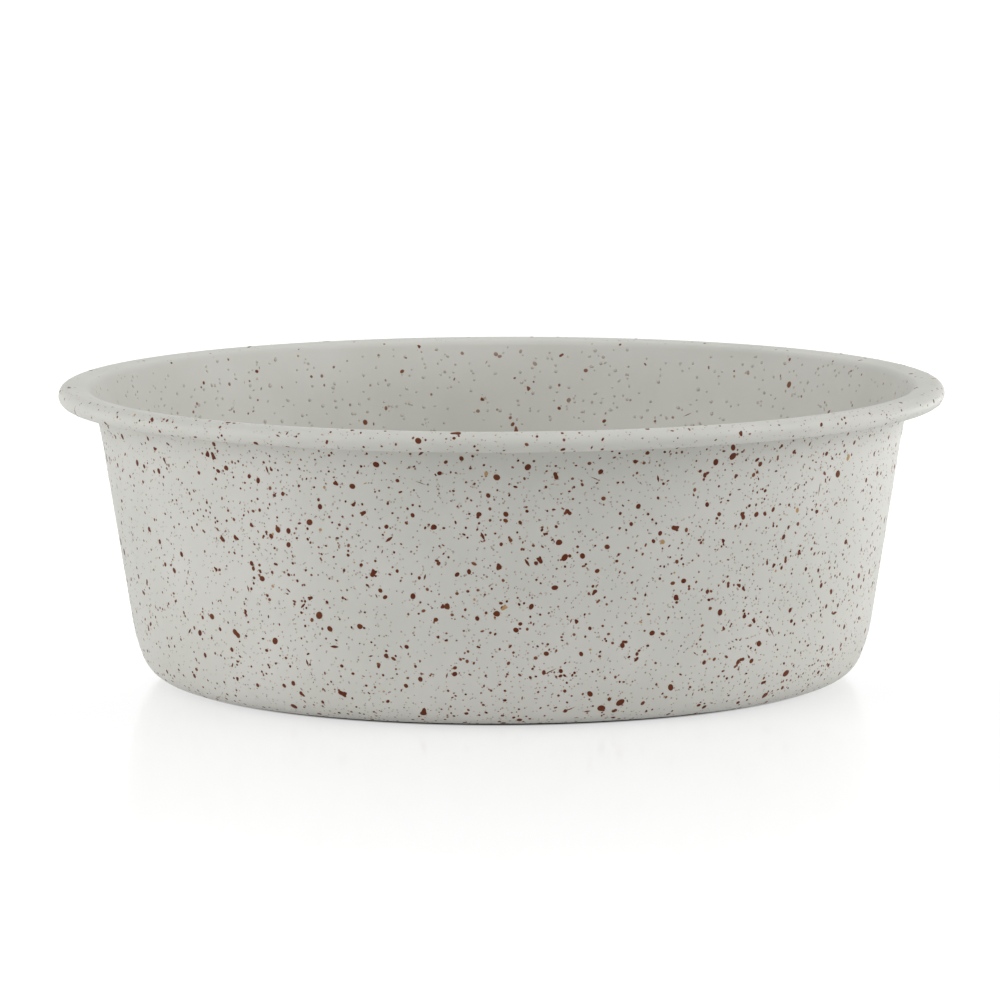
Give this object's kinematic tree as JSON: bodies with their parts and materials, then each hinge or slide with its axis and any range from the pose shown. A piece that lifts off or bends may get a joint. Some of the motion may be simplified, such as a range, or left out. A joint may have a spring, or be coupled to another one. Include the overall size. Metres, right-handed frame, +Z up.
{
  "type": "pet bowl",
  "caption": "Round drawn steel pet bowl with a tapered wall, a turned-out lip with a curled edge and a speckled coat, standing on a rubber ring seated in a channel under its base.",
  "frame": {"origin": "on the floor, under the middle of the bowl", "axes": "+Z up along the bowl's axis of turning, X and Y level and interchangeable because the bowl is round"},
  "size_m": [0.2, 0.2, 0.0669],
  "materials": {
    "speckled_coat": "matte pale warm grey coat on steel, spattered with rust-brown specks",
    "dark_rubber": "matte moulded rubber"
  },
  "bodies": {
    "root": {"bowl_shell": "speckled_coat", "non_slip_ring": "dark_rubber"}
  },
  "joints": []
}
